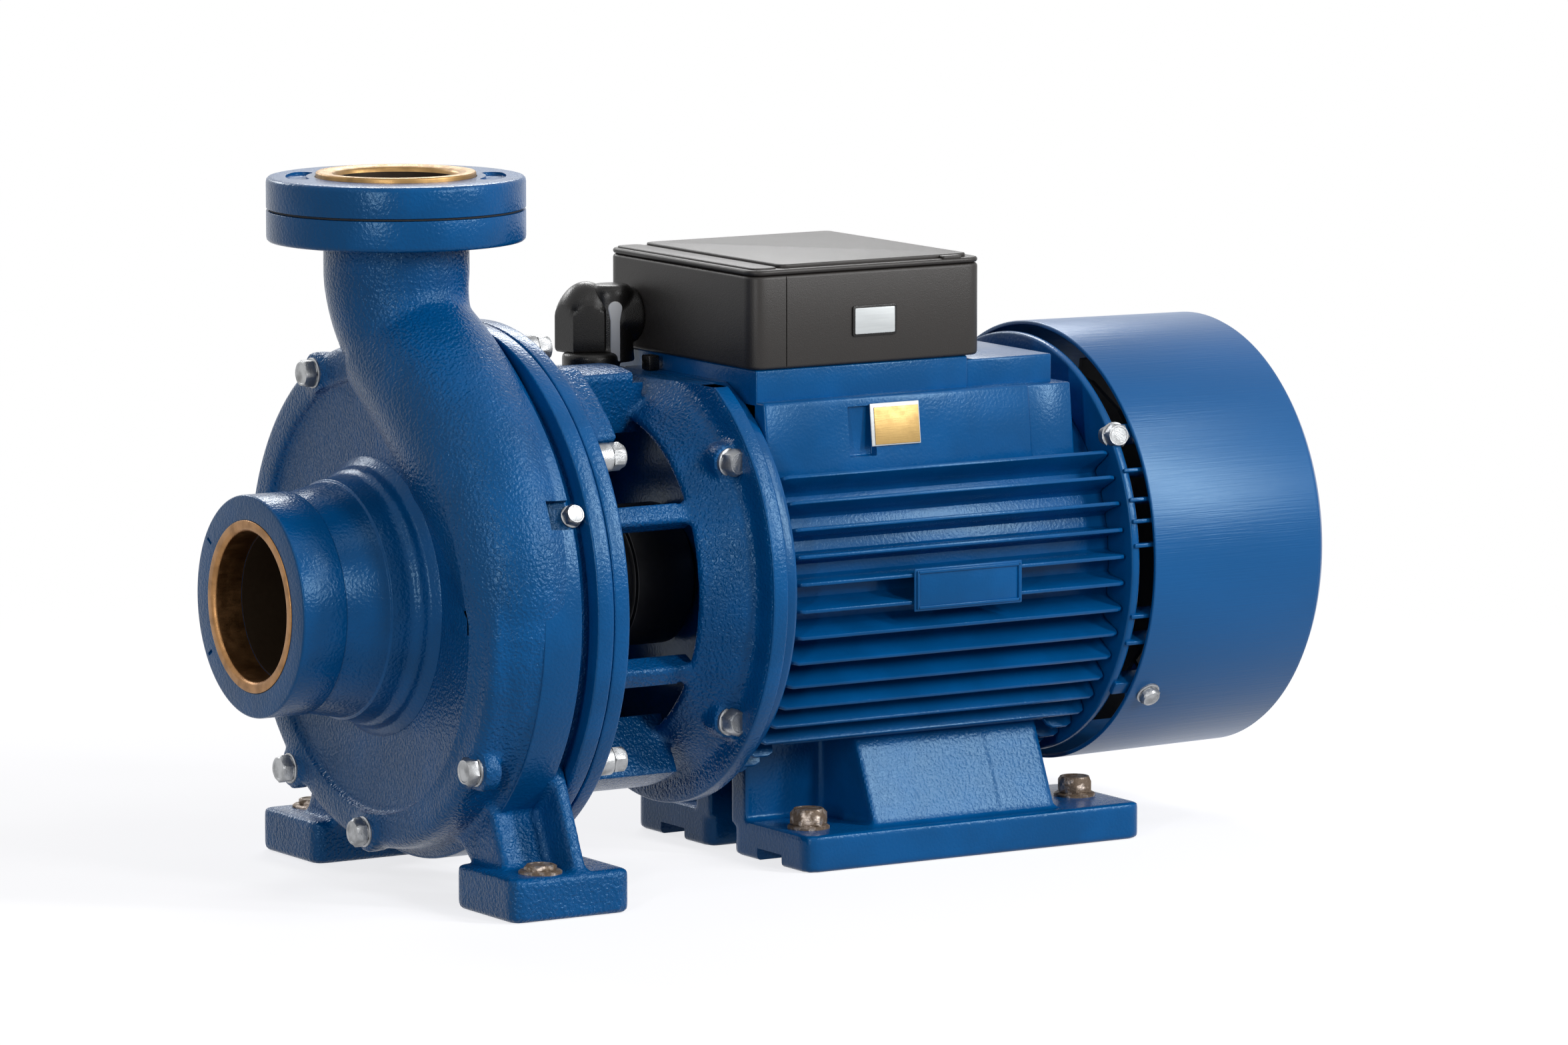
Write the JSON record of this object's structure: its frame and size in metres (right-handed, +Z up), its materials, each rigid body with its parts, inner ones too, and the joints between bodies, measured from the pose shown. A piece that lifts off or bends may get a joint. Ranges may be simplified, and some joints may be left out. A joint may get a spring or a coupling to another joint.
{
  "type": "close-coupled end-suction centrifugal pump with electric motor",
  "caption": "End-suction volute pump with a top discharge flange, open lantern bracket, finned motor with terminal box, fan cowl and feet. The shaft, impeller and fan turn.",
  "frame": {"origin": "on the floor, under the centre of the bounding box", "axes": "+Z up; the shaft lies along X with the suction nozzle at -X and the fan cowl at +X; -Y is the side with the nameplate"},
  "size_m": [0.735, 0.344, 0.459],
  "materials": {
    "blue_paint": "satin cast paint",
    "cowl_paint": "smooth satin paint",
    "cast_iron": "as cast",
    "bronze": "turned",
    "brass": "turned",
    "rubber": "matte",
    "dark_steel": "blackened",
    "steel": "turned",
    "black_plastic": "satin",
    "label_white": "satin",
    "fan_plastic": "matte"
  },
  "bodies": {
    "housing": {"suction_nozzle": "blue_paint", "discharge_neck": "blue_paint", "volute_casing": "blue_paint", "casing_cover": "cast_iron", "suction_ring": "bronze", "discharge_flange": "blue_paint", "flange_gasket": "rubber", "discharge_ring": "brass", "lantern_bracket": "blue_paint", "seal_housing": "dark_steel", "motor_front_shield": "blue_paint", "front_bearing": "steel", "motor_frame": "blue_paint", "rear_bearing": "steel", "motor_rear_shield": "blue_paint", "fan_cowl": "cowl_paint", "terminal_box_body": "black_plastic", "terminal_box_lid": "black_plastic", "gland_elbow": "black_plastic", "gland_cap": "black_plastic", "nameplate": "brass", "side_plate": "blue_paint", "box_label": "label_white", "motor_foot_near": "blue_paint", "motor_foot_far": "blue_paint"},
    "rotor": {"shaft": "steel", "coupling_sleeve": "dark_steel", "impeller": "bronze", "impeller_nut": "bronze", "cooling_fan": "fan_plastic"}
  },
  "joints": [
    {"name": "shaft_spin", "type": "hinge", "parent": "housing", "child": "rotor", "pos_m": [-0.059, 0, 0.188], "axis": [1, 0, 0], "continuous": true}
  ]
}
